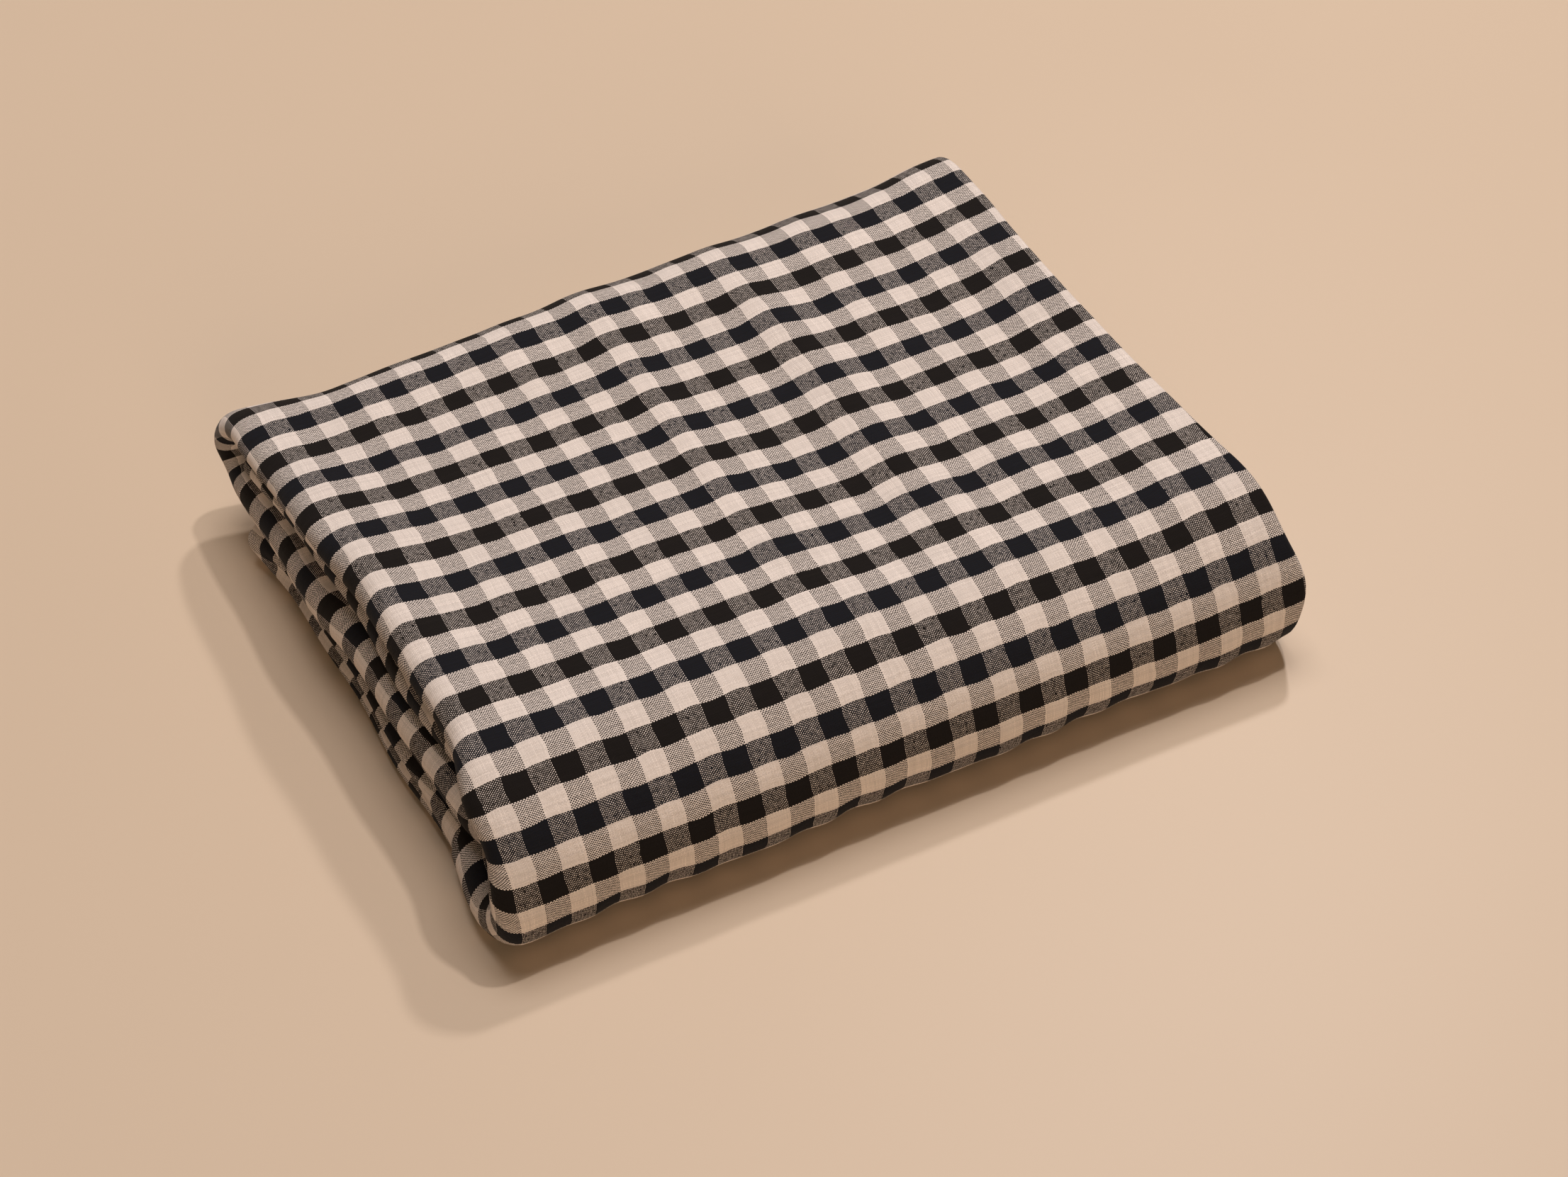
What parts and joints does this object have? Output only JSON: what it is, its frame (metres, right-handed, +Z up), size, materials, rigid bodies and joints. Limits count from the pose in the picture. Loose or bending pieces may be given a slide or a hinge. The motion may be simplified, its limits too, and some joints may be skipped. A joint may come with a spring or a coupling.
{
  "type": "folded fabric length",
  "caption": "Length of gingham cotton cloth, doubled, folded three times and rolled flat into a soft rectangular pack with one tall rounded fold in front.",
  "frame": {"origin": "centre of the footprint of the pack, on the surface that it rests on", "axes": "+Z up; +X along the long side, from the last side fold to the end with the cut edges, which is the length of the cloth; +Y from the tall front fold towards the back fold"},
  "size_m": [0.217, 0.178, 0.0449],
  "materials": {
    "gingham_cotton": "plain-woven yarn-dyed cotton gingham, matt, black and navy on cream"
  },
  "bodies": {
    "root": {"bottom_leaf_outer": "gingham_cotton", "bottom_leaf_inner": "gingham_cotton", "middle_leaf_outer": "gingham_cotton", "middle_leaf_inner": "gingham_cotton", "core_leaf_outer": "gingham_cotton", "core_leaf_inner": "gingham_cotton", "top_leaf_outer": "gingham_cotton", "top_leaf_inner": "gingham_cotton", "front_wrap_outer": "gingham_cotton", "front_wrap_inner": "gingham_cotton", "back_wrap_outer": "gingham_cotton", "back_wrap_inner": "gingham_cotton", "core_turn_outer": "gingham_cotton", "core_turn_inner": "gingham_cotton", "core_end_loop": "gingham_cotton"}
  },
  "joints": []
}
